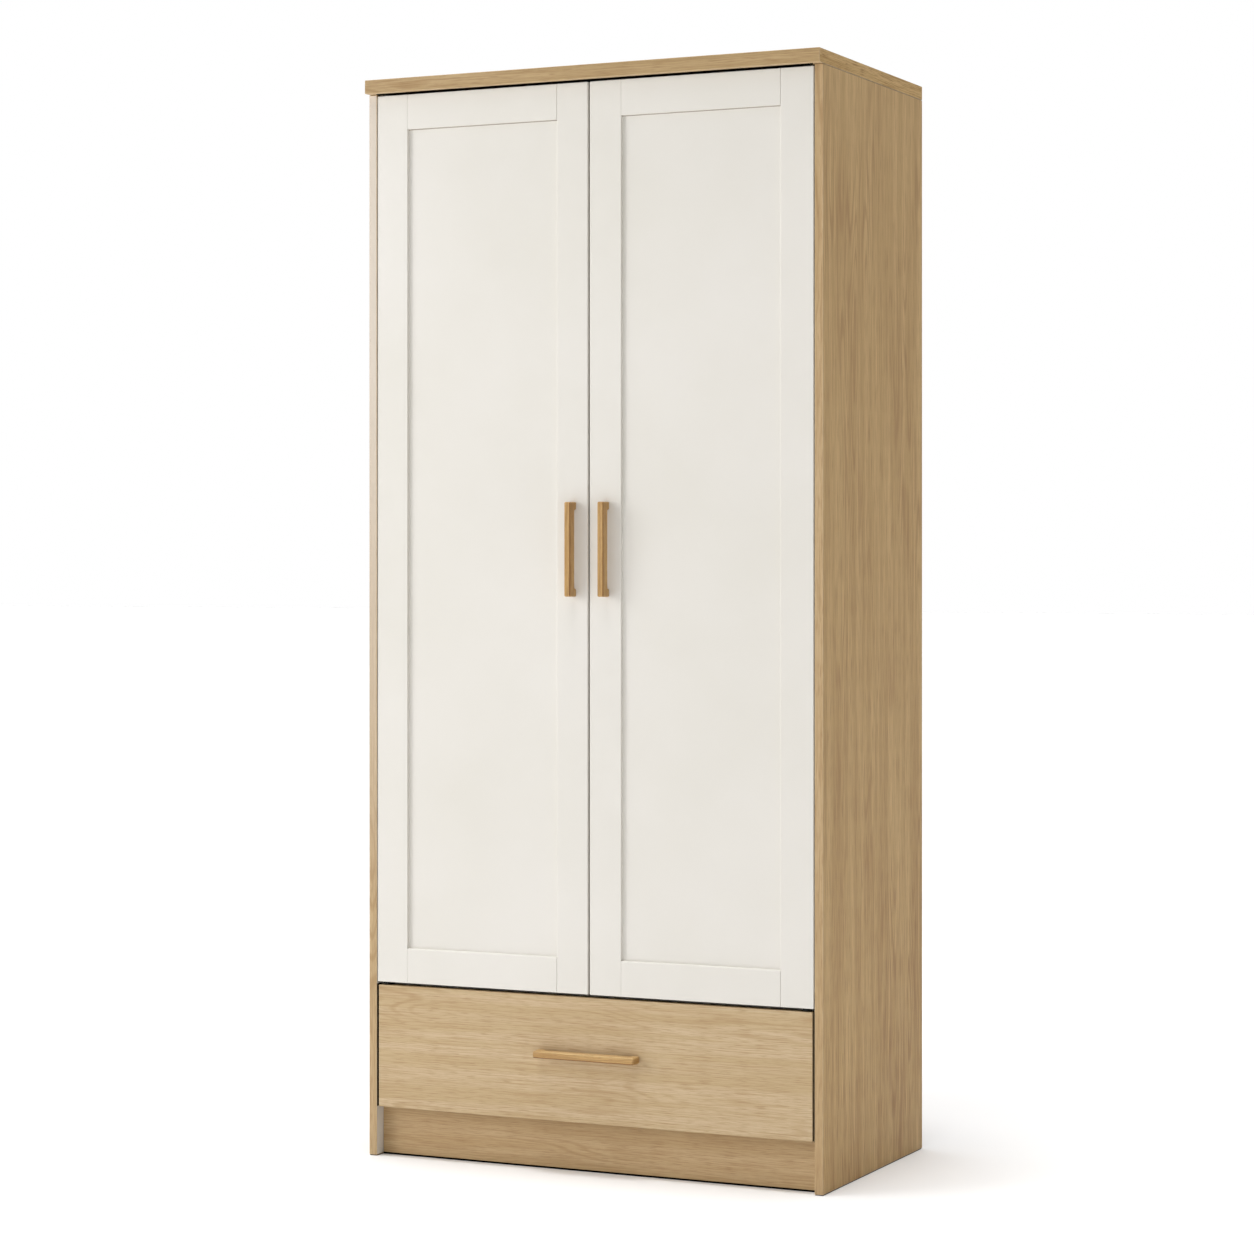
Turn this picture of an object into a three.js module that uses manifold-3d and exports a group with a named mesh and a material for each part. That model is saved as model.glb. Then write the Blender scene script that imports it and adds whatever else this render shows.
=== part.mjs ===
// A two-door wardrobe with one drawer under the doors, as a flat-pack maker builds it.
// Millimetres, +Z up, the front faces -Y. The origin is on the floor, in the middle of
// the overall box. Inside the model Y is counted from the plane of the door faces.

import * as THREE from 'three';
import { mergeVertices } from 'three/addons/utils/BufferGeometryUtils.js';
import Module from 'manifold-3d';

const wasm = await Module();
wasm.setup();

// ---- driving dimensions -------------------------------------------------------------

const overallWidth = 900;
const overallHeight = 1980;
const sideDepth = 496;
const boardThickness = 16;
const topThickness = 25;
const topOverhang = 17;
const seam = 0.2;

const doorThickness = 18;
const doorSideGap = 2;
const doorCentreGap = 3.5;
const doorTopGap = 3.5;
const doorDrawerGap = 6;
const stileWidth = 62;
const railHeight = 64;
const recessDepth = 6.5;
const doorPanelThickness = 6;
const doorPanelTongue = 8;
const grooveClearance = 0.3;

const plinthHeight = 90;
const plinthRecess = 24;
const plinthLift = 1;
const rearPlinthInset = 40;
const drawerFrontHeight = 224;
const drawerFrontLift = 1.5;
const drawerFrontSideGap = 4;

const backThickness = 3;
const backGrooveDepth = 6;
const backInset = 8;
const joinerWidth = 24;
const joinerWall = 1;

const floorShelfDrop = 4.5;
const shelfSetback = 2;
const hatShelfSetback = 34;
const hatSpaceHeight = 300;

const railTubeHeight = 30;
const railTubeDepth = 15;
const railTubeWall = 1.2;
const railDrop = 56;
const socketThickness = 12;
const socketFlange = 3;
const socketRim = 2.5;
const socketLip = 7;

const pivotPinRadius = 2.5;
const pivotPinLength = 11;
const pivotEdgeDistance = 16;
const pivotFaceDistance = 7;
const pivotPlateThickness = 2;
const pivotPlateHalfWidth = 6.5;
const pivotPlateTail = 62;
const pivotScrewRadius = 2.1;
const pivotScrewPitch = 18;
const pivotRunningClearance = 0.1;
const bushWall = 1.5;
const bushDepth = 13;
const bushFlangeWall = 2.2;
const bushGap = 0.3;

const catchLength = 46;
const catchDepth = 15;
const catchHeight = 12;
const catchFromEdge = 14;
const strikeThickness = 1.2;
const strikeWidth = 36;
const strikeHeight = 10;
const strikeGap = 0.4;

const doorHandleLength = 169;
const doorHandleWidth = 12;
const doorHandleLift = 795;
const drawerHandleLength = 200;
const drawerHandleWidth = 12;
const drawerHandleLift = 7.5;
const handleProjection = 25.5;
const handleBarDepth = 16;
const handleFoot = 14;
const handleCove = 5;
const handleCorner = 2;

const slideGap = 13;
const slideFrontSetback = 22;
const slideRearSetback = 14;
const slideSheet = 1.2;
const slideClearance = 1;
const slideHeightFromBoxBottom = 48;
const slideOuterHeight = 45;
const slideMiddleHeight = 37;
const slideInnerHeight = 28;
const drawerSideThickness = 12;
const drawerTopClearance = 37;
const drawerRearClearance = 49;
const drawerBoxLift = 24;
const drawerBaseThickness = 4;
const drawerBaseLift = 10;
const drawerGrooveDepth = 6;

const roundSegments = 32;

// ---- derived sizes and places -------------------------------------------------------

const innerHalfWidth = overallWidth / 2 - boardThickness;
const topUnderside = overallHeight - topThickness;
const drawerFrontBottom = plinthHeight + drawerFrontLift;
const drawerFrontTop = drawerFrontBottom + drawerFrontHeight;
const doorBottom = drawerFrontTop + doorDrawerGap;
const doorTop = topUnderside - doorTopGap;
const doorOuterX = innerHalfWidth - doorSideGap;
const doorInnerX = doorCentreGap / 2;
const floorShelfTop = doorBottom - floorShelfDrop;
const backFrontY = sideDepth - backInset - backThickness;
const backBottom = plinthHeight - boardThickness / 2;
const shelfBackY = backFrontY - seam;
const hatShelfTop = topUnderside - hatSpaceHeight;
const railCentreZ = hatShelfTop - boardThickness - railDrop;
const railCentreY = (doorThickness + backFrontY) / 2;
const pivotX = doorOuterX - pivotEdgeDistance;
const originY = (sideDepth - handleProjection) / 2;

const oak = { color: 0xc9ab82, roughness: 0.62, metalness: 0 };
const cream = { color: 0xe9e4da, roughness: 0.5, metalness: 0 };
const honey = { color: 0xb5894f, roughness: 0.5, metalness: 0 };
const whiteBoard = { color: 0xe4e0d8, roughness: 0.7, metalness: 0 };
const zinc = { color: 0xa9abad, roughness: 0.35, metalness: 1 };
const chrome = { color: 0xd0d2d4, roughness: 0.15, metalness: 1 };
const nylon = { color: 0x3a3a3a, roughness: 0.55, metalness: 0 };

// ---- shape helpers ------------------------------------------------------------------

function toSolid(geometry) {
  const bare = geometry.clone();
  bare.deleteAttribute('normal');
  bare.deleteAttribute('uv');
  const merged = mergeVertices(bare, 1e-4);
  const mesh = new wasm.Mesh({
    numProp: 3,
    vertProperties: new Float32Array(merged.attributes.position.array),
    triVerts: new Uint32Array(merged.index.array),
  });
  return new wasm.Manifold(mesh);
}

function toGeometry(solid) {
  const mesh = solid.getMesh();
  const geometry = new THREE.BufferGeometry();
  geometry.setAttribute('position', new THREE.BufferAttribute(new Float32Array(mesh.vertProperties), 3));
  geometry.setIndex(new THREE.BufferAttribute(new Uint32Array(mesh.triVerts), 1));
  geometry.computeVertexNormals();
  return geometry;
}

// A block between two corners, as a geometry in the model's own coordinates.
function block([x0, x1], [y0, y1], [z0, z1]) {
  const geometry = new THREE.BoxGeometry(Math.abs(x1 - x0), y1 - y0, z1 - z0);
  return geometry.translate((x0 + x1) / 2, (y0 + y1) / 2, (z0 + z1) / 2);
}

// An upright round bar from z0 to z1.
function bar(radius, x, y, z0, z1) {
  const geometry = new THREE.CylinderGeometry(radius, radius, z1 - z0, roundSegments);
  return geometry.rotateX(Math.PI / 2).translate(x, y, (z0 + z1) / 2);
}

function without(geometry, cuts) {
  let solid = toSolid(geometry);
  for (const cut of cuts) solid = solid.subtract(toSolid(cut));
  return toGeometry(solid);
}

function joined(geometries) {
  let solid = toSolid(geometries[0]);
  for (const more of geometries.slice(1)) solid = solid.add(toSolid(more));
  return toGeometry(solid);
}

// Adds one named piece, with its origin moved to the middle of its own box.
function addPiece(group, name, finish, geometry) {
  geometry.computeBoundingBox();
  const centre = geometry.boundingBox.getCenter(new THREE.Vector3());
  geometry.translate(-centre.x, -centre.y, -centre.z);
  const mesh = new THREE.Mesh(geometry, new THREE.MeshStandardMaterial(finish));
  mesh.name = name;
  mesh.position.copy(centre);
  group.add(mesh);
}

// An outline in the X-Z plane pushed along +Y.
function pushedAlongY(shape, y0, y1) {
  const geometry = new THREE.ExtrudeGeometry(shape, { depth: y1 - y0, bevelEnabled: false });
  return geometry.rotateX(Math.PI / 2).translate(0, y1, 0);
}

function outline(points) {
  return new THREE.Shape(points.map(([x, y]) => new THREE.Vector2(x, y)));
}

// A slot shape: two half circles joined by straight sides, standing along Y.
function ovalShape(halfWidth, halfHeight, centreX, centreY) {
  const straight = halfHeight - halfWidth;
  const shape = new THREE.Shape();
  shape.absarc(centreX, centreY + straight, halfWidth, 0, Math.PI, false);
  shape.absarc(centreX, centreY - straight, halfWidth, Math.PI, 2 * Math.PI, false);
  shape.closePath();
  return shape;
}

// ---- carcass ------------------------------------------------------------------------

const backGrooveY = [backFrontY - grooveClearance, backFrontY + backThickness + grooveClearance];

function sidePanel(side) {
  const inner = side * innerHalfWidth;
  const groove = block(
    [inner - side, inner + side * backGrooveDepth],
    backGrooveY,
    [backBottom - grooveClearance, overallHeight],
  );
  const panel = block([inner, side * overallWidth / 2], [0, sideDepth], [0, topUnderside - seam]);
  return without(panel, [groove]);
}

function topPanel() {
  const half = innerHalfWidth + backGrooveDepth;
  const groove = block([-half, half], backGrooveY, [topUnderside - 1, topUnderside + backGrooveDepth]);
  const panel = block(
    [-overallWidth / 2, overallWidth / 2],
    [-topOverhang, sideDepth],
    [topUnderside, overallHeight],
  );
  return without(panel, [groove]);
}

// A board that spans the opening between the two sides.
function cross(y, z) {
  const half = innerHalfWidth - seam;
  return block([-half, half], y, z);
}

function backBoard(side) {
  const webHalf = joinerWall / 2 + grooveClearance;
  return block(
    [side * webHalf, side * (innerHalfWidth + backGrooveDepth - grooveClearance)],
    [backFrontY, backFrontY + backThickness],
    [backBottom, topUnderside + backGrooveDepth - grooveClearance],
  );
}

// An H section: a web between the two back boards and a strip on each face of them.
function backJoiner() {
  const bottom = plinthHeight + seam;
  const top = topUnderside - seam;
  const frontStrip = [backFrontY - grooveClearance - joinerWall, backFrontY - grooveClearance];
  const rearFace = backFrontY + backThickness + grooveClearance;
  const rearStrip = [rearFace, rearFace + joinerWall];
  const half = joinerWidth / 2;
  const web = block([-joinerWall / 2, joinerWall / 2], [frontStrip[0], rearStrip[1]], [bottom, top]);
  const shelfCuts = [floorShelfTop, hatShelfTop].map((shelfTop) => block(
    [-half - 1, half + 1],
    [frontStrip[0] - 1, frontStrip[1] + grooveClearance / 2],
    [shelfTop - boardThickness - seam, shelfTop + seam],
  ));
  const whole = joined([web, block([-half, half], frontStrip, [bottom, top]), block([-half, half], rearStrip, [bottom, top])]);
  return without(whole, shelfCuts);
}

function hangingRail() {
  const halfHeight = railTubeHeight / 2;
  const halfDepth = railTubeDepth / 2;
  const half = innerHalfWidth - socketFlange - seam;
  const shape = ovalShape(halfDepth, halfHeight, 0, 0);
  shape.holes.push(ovalShape(halfDepth - railTubeWall, halfHeight - railTubeWall, 0, 0));
  const tube = new THREE.ExtrudeGeometry(shape, { depth: 2 * half, bevelEnabled: false, curveSegments: 16 });
  return tube
    .translate(0, 0, -half)
    .rotateY(Math.PI / 2)
    .rotateX(Math.PI / 2)
    .translate(0, railCentreY, railCentreZ);
}

// An end socket: a screwed-on plate with a raised rim that holds the tube's end.
function railSocket(side) {
  const halfHeight = railTubeHeight / 2 + grooveClearance;
  const halfDepth = railTubeDepth / 2 + grooveClearance;
  const plate = ovalShape(halfDepth + socketLip, halfHeight + socketLip, 0, 0);
  const rim = ovalShape(halfDepth + socketRim, halfHeight + socketRim, 0, 0);
  const pocket = ovalShape(halfDepth, halfHeight, 0, 0);
  const step = (shape, depth, from) => new THREE.ExtrudeGeometry(
    shape,
    { depth, bevelEnabled: false, curveSegments: 16 },
  ).translate(0, 0, from);
  const solid = without(
    joined([step(plate, socketFlange, 0), step(rim, socketThickness, 0)]),
    [step(pocket, socketThickness, socketFlange)],
  );
  return solid
    .rotateX(Math.PI / 2)
    .rotateZ(-side * Math.PI / 2)
    .translate(side * (innerHalfWidth - seam), railCentreY, railCentreZ);
}

// A flat steel plate with a fixed pin. It turns the door about the pin.
// up is +1 for the plate under the door, whose pin points up, and -1 above the door.
function pivotPlate(side, up, restZ) {
  const x = side * pivotX;
  const y = pivotFaceDistance;
  const length = pivotPlateTail / 2;
  const shape = ovalShape(pivotPlateHalfWidth, length + pivotPlateHalfWidth, x, y + length);
  const screwsStart = doorThickness + shelfSetback + pivotPlateHalfWidth;
  for (const step of [0, 1]) {
    const hole = new THREE.Path();
    hole.absarc(x, screwsStart + step * pivotScrewPitch, pivotScrewRadius, 0, 2 * Math.PI, true);
    shape.holes.push(hole);
  }
  const near = restZ + up * seam;
  const far = near + up * pivotPlateThickness;
  const plate = new THREE.ExtrudeGeometry(
    shape,
    { depth: pivotPlateThickness, bevelEnabled: false, curveSegments: 12 },
  ).translate(0, 0, Math.min(near, far));
  const tip = far + up * pivotPinLength;
  const root = near + up * pivotPlateThickness / 2;
  const pin = bar(pivotPinRadius, x, y, Math.min(root, tip), Math.max(root, tip));
  return joined([plate, pin]);
}

function magnetCatch(side) {
  const start = doorInnerX + catchFromEdge;
  const front = doorThickness + strikeThickness + strikeGap;
  const top = topUnderside - seam;
  return block(
    [side * start, side * (start + catchLength)],
    [front, front + catchDepth],
    [top - catchHeight, top],
  );
}

// ---- drawer slides ------------------------------------------------------------------

const drawerBoxBottom = plinthHeight + drawerBoxLift;
const drawerBoxBack = backFrontY - drawerRearClearance;
const slideCentreZ = drawerBoxBottom + slideHeightFromBoxBottom;

// A C section along Y. webX is the outer face of its web, counted from the side board.
function slideMember(side, fromSide, flangeDepth, halfHeight, opensToDrawer, y) {
  const web = innerHalfWidth - fromSide;
  const turn = opensToDrawer ? -1 : 1;
  const points = [
    [web, halfHeight],
    [web + turn * flangeDepth, halfHeight],
    [web + turn * flangeDepth, halfHeight - slideSheet],
    [web + turn * slideSheet, halfHeight - slideSheet],
    [web + turn * slideSheet, slideSheet - halfHeight],
    [web + turn * flangeDepth, slideSheet - halfHeight],
    [web + turn * flangeDepth, -halfHeight],
    [web, -halfHeight],
  ];
  const shape = outline(points.map(([x, z]) => [side * x, z + slideCentreZ]));
  return pushedAlongY(shape, ...y);
}

const slideY = [slideFrontSetback, drawerBoxBack - slideRearSetback];
const slideFlange = slideGap - 2 * seam - 3 * slideSheet - slideClearance;

// ---- doors --------------------------------------------------------------------------

const doorPanelY = [recessDepth, recessDepth + doorPanelThickness];
const doorGrooveY = [doorPanelY[0] - grooveClearance, doorPanelY[1] + grooveClearance];
const doorPanelReach = doorPanelTongue - grooveClearance;
const bushRadius = pivotPinRadius + pivotRunningClearance + bushWall;

function doorParts(side, name, group) {
  const outer = side * doorOuterX;
  const inner = side * doorInnerX;
  const outerStileEdge = outer - side * stileWidth;
  const innerStileEdge = inner + side * stileWidth;
  const height = [doorBottom, doorTop];
  const full = [0, doorThickness];

  const bushHoles = [
    bar(bushRadius + bushGap, side * pivotX, pivotFaceDistance, doorBottom - 1, doorBottom + bushDepth + bushGap),
    bar(bushRadius + bushGap, side * pivotX, pivotFaceDistance, doorTop - bushDepth - bushGap, doorTop + 1),
  ];
  const outerGroove = block([outerStileEdge - side, outerStileEdge + side * doorPanelTongue], doorGrooveY, [
    doorBottom + railHeight - doorPanelTongue,
    doorTop - railHeight + doorPanelTongue,
  ]);
  const innerGroove = block([innerStileEdge + side, innerStileEdge - side * doorPanelTongue], doorGrooveY, [
    doorBottom + railHeight - doorPanelTongue,
    doorTop - railHeight + doorPanelTongue,
  ]);
  addPiece(group, `${name}_door_hinge_stile`, cream, without(block([outer, outerStileEdge], full, height), [
    outerGroove,
    ...bushHoles,
  ]));
  addPiece(group, `${name}_door_meeting_stile`, cream, without(block([inner, innerStileEdge], full, height), [
    innerGroove,
  ]));

  const railX = [outerStileEdge - side * seam, innerStileEdge + side * seam];
  const cutX = [outerStileEdge + side, innerStileEdge - side];
  const topEdge = doorTop - railHeight;
  const bottomEdge = doorBottom + railHeight;
  addPiece(group, `${name}_door_top_rail`, cream, without(block(railX, full, [topEdge, doorTop]), [
    block(cutX, doorGrooveY, [topEdge - 1, topEdge + doorPanelTongue]),
  ]));
  addPiece(group, `${name}_door_bottom_rail`, cream, without(block(railX, full, [doorBottom, bottomEdge]), [
    block(cutX, doorGrooveY, [bottomEdge - doorPanelTongue, bottomEdge + 1]),
  ]));
  addPiece(group, `${name}_door_panel`, cream, block(
    [outerStileEdge + side * doorPanelReach, innerStileEdge - side * doorPanelReach],
    doorPanelY,
    [bottomEdge - doorPanelReach, topEdge + doorPanelReach],
  ));

  const plateUnderTop = topUnderside - seam - pivotPlateThickness;
  const plateOverShelf = floorShelfTop + seam + pivotPlateThickness;
  addPiece(group, `${name}_door_top_bush`, nylon, pivotBush(side, -1, doorTop, plateUnderTop));
  addPiece(group, `${name}_door_bottom_bush`, nylon, pivotBush(side, 1, doorBottom, plateOverShelf));

  const strikeStart = doorInnerX + catchFromEdge + (catchLength - strikeWidth) / 2;
  const strikeTop = topUnderside - seam - catchHeight / 2 + strikeHeight / 2 - doorTopGap;
  addPiece(group, `${name}_door_strike_plate`, zinc, block(
    [side * strikeStart, side * (strikeStart + strikeWidth)],
    [doorThickness + seam / 2, doorThickness + strikeThickness],
    [strikeTop - strikeHeight, strikeTop],
  ));

  const handle = pullHandle(doorHandleLength, doorHandleWidth)
    .rotateY(Math.PI / 2)
    .translate(side * (doorInnerX + stileWidth / 2), -seam, doorBottom + doorHandleLift);
  addPiece(group, `${name}_door_handle`, honey, handle);
}

// A flanged nylon bush with a blind bore that faces the pin. up is +1 under the door.
function pivotBush(side, up, doorEdge, plateFace) {
  const flange = Math.abs(doorEdge - plateFace) - bushGap;
  const boreRadius = pivotPinRadius + pivotRunningClearance;
  const boreDepth = pivotPinLength + bushGap;
  const points = [
    [0, bushDepth],
    [bushRadius, bushDepth],
    [bushRadius, 0],
    [bushRadius + bushFlangeWall, 0],
    [bushRadius + bushFlangeWall, -flange],
    [boreRadius, -flange],
    [boreRadius, boreDepth - flange],
    [0, boreDepth - flange],
  ];
  const lathe = new THREE.LatheGeometry(points.map(([r, z]) => new THREE.Vector2(r, z)).reverse(), roundSegments);
  lathe.rotateX(Math.PI / 2);
  if (up < 0) lathe.rotateX(Math.PI);
  return lathe.translate(side * pivotX, pivotFaceDistance, doorEdge);
}

// A wooden bow handle along X: two feet at the ends, a straight bar, and coved inside corners.
function pullHandle(length, width) {
  const half = length / 2;
  const gap = handleProjection - seam - handleBarDepth;
  const front = handleProjection - seam;
  const inside = half - handleFoot;
  const shape = new THREE.Shape();
  shape.moveTo(-half, 0);
  shape.lineTo(-inside, 0);
  shape.lineTo(-inside, gap - handleCove);
  shape.absarc(-inside + handleCove, gap - handleCove, handleCove, Math.PI, Math.PI / 2, true);
  shape.absarc(inside - handleCove, gap - handleCove, handleCove, Math.PI / 2, 0, true);
  shape.lineTo(inside, 0);
  shape.lineTo(half, 0);
  shape.absarc(half - handleCorner, front - handleCorner, handleCorner, 0, Math.PI / 2, false);
  shape.absarc(handleCorner - half, front - handleCorner, handleCorner, Math.PI / 2, Math.PI, false);
  shape.closePath();
  const solid = new THREE.ExtrudeGeometry(shape, { depth: width, bevelEnabled: false, curveSegments: 8 });
  return solid.translate(0, 0, -width / 2).rotateX(Math.PI);
}

// ---- drawer -------------------------------------------------------------------------

function drawerParts(group) {
  const sideOuter = innerHalfWidth - slideGap;
  const sideInner = sideOuter - drawerSideThickness;
  const boxFront = boardThickness + seam;
  const boxTop = floorShelfTop - boardThickness - drawerTopClearance;
  const baseZ = [drawerBoxBottom + drawerBaseLift, drawerBoxBottom + drawerBaseLift + drawerBaseThickness];
  const grooveZ = [baseZ[0] - grooveClearance, baseZ[1] + grooveClearance];
  const frontHalf = innerHalfWidth - drawerFrontSideGap;
  const grooveHalf = sideInner + drawerGrooveDepth;

  addPiece(group, 'drawer_front', oak, without(
    block([-frontHalf, frontHalf], [0, boardThickness], [drawerFrontBottom, drawerFrontTop]),
    [block([-grooveHalf, grooveHalf], [boardThickness - drawerGrooveDepth, boardThickness + 1], grooveZ)],
  ));
  for (const [side, name] of [[-1, 'left'], [1, 'right']]) {
    addPiece(group, `drawer_side_${name}`, whiteBoard, without(
      block([side * sideInner, side * sideOuter], [boxFront, drawerBoxBack], [drawerBoxBottom, boxTop]),
      [block([side * (sideInner - 1), side * grooveHalf], [boxFront - 1, drawerBoxBack + 1], grooveZ)],
    ));
    addPiece(group, `drawer_slide_inner_${name}`, zinc, slideMember(
      side,
      slideGap - seam,
      slideFlange,
      slideInnerHeight / 2,
      false,
      slideY,
    ));
  }
  const backHalf = sideInner - seam;
  addPiece(group, 'drawer_back', whiteBoard, block(
    [-backHalf, backHalf],
    [drawerBoxBack - drawerSideThickness, drawerBoxBack],
    [baseZ[1] + grooveClearance, boxTop],
  ));
  const baseHalf = grooveHalf - grooveClearance;
  addPiece(group, 'drawer_base', whiteBoard, block(
    [-baseHalf, baseHalf],
    [boardThickness - drawerGrooveDepth + grooveClearance, drawerBoxBack],
    baseZ,
  ));
  const handleZ = (drawerFrontBottom + drawerFrontTop) / 2 + drawerHandleLift;
  const handle = pullHandle(drawerHandleLength, drawerHandleWidth).translate(0, -seam, handleZ);
  addPiece(group, 'drawer_handle', honey, handle);
}

// ---- assembly -----------------------------------------------------------------------

const wardrobe = new THREE.Group();
wardrobe.position.y = -originY;

const carcass = new THREE.Group();
addPiece(carcass, 'top_panel', oak, topPanel());
addPiece(carcass, 'hat_shelf', whiteBoard, cross(
  [hatShelfSetback, shelfBackY],
  [hatShelfTop - boardThickness, hatShelfTop],
));
addPiece(carcass, 'floor_shelf', whiteBoard, cross(
  [doorThickness + shelfSetback, shelfBackY],
  [floorShelfTop - boardThickness, floorShelfTop],
));
addPiece(carcass, 'bottom_panel', whiteBoard, cross(
  [plinthRecess + boardThickness + seam, shelfBackY],
  [plinthHeight - boardThickness, plinthHeight],
));
addPiece(carcass, 'plinth_front', oak, cross(
  [plinthRecess, plinthRecess + boardThickness],
  [plinthLift, plinthHeight],
));
addPiece(carcass, 'plinth_rear', oak, cross(
  [sideDepth - rearPlinthInset - boardThickness, sideDepth - rearPlinthInset],
  [plinthLift, plinthHeight - boardThickness - seam],
));
addPiece(carcass, 'back_joiner', whiteBoard, backJoiner());
addPiece(carcass, 'hanging_rail', chrome, hangingRail());
const middles = new THREE.Group();
const doors = new THREE.Group();
for (const [side, name] of [[-1, 'left'], [1, 'right']]) {
  addPiece(carcass, `side_panel_${name}`, oak, sidePanel(side));
  addPiece(carcass, `back_board_${name}`, whiteBoard, backBoard(side));
  addPiece(carcass, `rail_socket_${name}`, zinc, railSocket(side));
  addPiece(carcass, `top_pivot_plate_${name}`, zinc, pivotPlate(side, -1, topUnderside));
  addPiece(carcass, `bottom_pivot_plate_${name}`, zinc, pivotPlate(side, 1, floorShelfTop));
  addPiece(carcass, `magnet_catch_${name}`, nylon, magnetCatch(side));
  addPiece(carcass, `drawer_slide_outer_${name}`, zinc, slideMember(
    side,
    seam,
    slideFlange,
    slideOuterHeight / 2,
    true,
    slideY,
  ));
  addPiece(middles, `drawer_slide_middle_${name}`, zinc, slideMember(
    side,
    seam + 2 * slideSheet,
    slideFlange,
    slideMiddleHeight / 2,
    true,
    slideY,
  ));
  doorParts(side, name, doors);
}
const drawer = new THREE.Group();
drawerParts(drawer);
wardrobe.add(carcass, doors, middles, drawer);

export default wardrobe;
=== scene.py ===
import bpy
import numpy as np
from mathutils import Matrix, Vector


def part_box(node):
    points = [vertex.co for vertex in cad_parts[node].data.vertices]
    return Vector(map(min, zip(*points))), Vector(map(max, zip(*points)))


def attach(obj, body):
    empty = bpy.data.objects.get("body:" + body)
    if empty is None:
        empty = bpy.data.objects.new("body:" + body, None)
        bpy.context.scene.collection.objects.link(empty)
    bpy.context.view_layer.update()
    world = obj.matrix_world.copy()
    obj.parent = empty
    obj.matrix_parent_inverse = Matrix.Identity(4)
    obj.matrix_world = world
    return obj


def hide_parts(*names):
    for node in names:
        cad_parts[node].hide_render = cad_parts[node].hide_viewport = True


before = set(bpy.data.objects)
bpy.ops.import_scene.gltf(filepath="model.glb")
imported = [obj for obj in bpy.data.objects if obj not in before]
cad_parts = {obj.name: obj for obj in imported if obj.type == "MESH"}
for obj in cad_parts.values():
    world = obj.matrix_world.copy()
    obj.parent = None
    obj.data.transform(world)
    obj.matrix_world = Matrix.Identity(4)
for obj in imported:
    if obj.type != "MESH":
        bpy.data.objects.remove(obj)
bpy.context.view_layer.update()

# A wardrobe with two doors and a drawer. Lengths are in metres: X runs across the front,
# Y from the front to the back, Z up. Every piece takes its size and place from its CAD node.
MM = 0.001


# ---------------------------------------------------------------- colours and nodes

def linear(code):
    """An sRGB hex colour as linear red, green, blue and alpha."""
    part = np.array([int(code[i:i + 2], 16) for i in (1, 3, 5)]) / 255
    value = np.where(part <= 0.04045, part / 12.92, ((part + 0.055) / 1.055) ** 2.4)
    return (*value.tolist(), 1.0)


def add(tree, kind, inputs=None, **settings):
    """Adds one node: settings are its own, inputs are constants or the sockets that feed it."""
    made = tree.nodes.new(kind)
    for name, value in settings.items():
        setattr(made, name, value)
    for name, value in (inputs or {}).items():
        if isinstance(value, bpy.types.NodeSocket):
            tree.links.new(value, made.inputs[name])
        else:
            made.inputs[name].default_value = value
    return made


# The colour sockets of a Mix node by number, since each of its names is used by several sockets.
MIX_FACTOR, MIX_FIRST, MIX_SECOND, MIX_RESULT = 0, 6, 7, 2


def surface(name, **constants):
    """A new material with its Principled shader: the tree, the shader and the material."""
    made = bpy.data.materials.new(name)
    made.use_nodes = True
    tree = made.node_tree
    shader = tree.nodes["Principled BSDF"]
    for socket, value in constants.items():
        shader.inputs[socket.replace("_", " ")].default_value = value
    return tree, shader, made


def wood_figure(tree, streak, pore, band, ring, wave):
    """The figure of a flat-sawn board, in its own grain map (x along the grain, y across).

    Each size is (length along the grain, width across it) in metres. A slow noise bends the
    across coordinate by wave metres. Streaks, pores and bands are noises stretched along the
    grain. The rings are the contour lines of one wide noise: sin(ring count * noise), which
    close into long tongues where the noise has a hill, as year rings do in a sawn face. The
    patch is a broad noise, for what shows only here and there.
    """
    grain = add(tree, "ShaderNodeUVMap", uv_map="grain").outputs["UV"]

    def stretched(source, size, detail, roughness=0.5):
        scaled = add(tree, "ShaderNodeMapping", {
            "Vector": source, "Scale": (1 / size[0], 1 / size[1], 1),
        }).outputs["Vector"]
        return add(tree, "ShaderNodeTexNoise", {
            "Vector": scaled, "Scale": 1.0, "Detail": detail, "Roughness": roughness,
        }, noise_dimensions="2D").outputs["Fac"]

    slow = stretched(grain, (0.30, 0.055), 2.0)
    sway = add(tree, "ShaderNodeMapRange", {
        "Value": slow, "From Min": 0.0, "From Max": 1.0, "To Min": -wave, "To Max": wave,
    }).outputs["Result"]
    shift = add(tree, "ShaderNodeCombineXYZ", {"Y": sway}).outputs["Vector"]
    bent = add(tree, "ShaderNodeVectorMath", {0: grain, 1: shift}, operation="ADD").outputs[0]
    rings = add(tree, "ShaderNodeMath", {
        0: stretched(bent, ring[:2], 1.0), 1: ring[2],
    }, operation="MULTIPLY").outputs[0]
    rings = add(tree, "ShaderNodeMath", {0: rings}, operation="SINE").outputs[0]
    return {
        "streak": stretched(bent, streak, 4.0, 0.68),
        "pore": stretched(bent, pore, 2.0, 0.6),
        "band": stretched(bent, band, 1.0),
        "ring": rings,
        "patch": stretched(grain, (0.45, 0.13), 0.0),
    }


def layered(tree, base, *layers):
    """A base tone with other tones laid over it, each (tone, pattern, low, high, most).

    The share of a tone grows evenly from 0 where its pattern is low to most where it is high.
    """
    colour = linear(base)
    for tone, pattern, low, high, most in layers:
        amount = add(tree, "ShaderNodeMapRange", {
            "Value": pattern, "From Min": low, "From Max": high, "To Min": 0.0, "To Max": most,
        }).outputs["Result"]
        colour = add(tree, "ShaderNodeMix", {
            MIX_FACTOR: amount, MIX_FIRST: colour, MIX_SECOND: linear(tone),
        }, data_type="RGBA").outputs[MIX_RESULT]
    return colour


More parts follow.
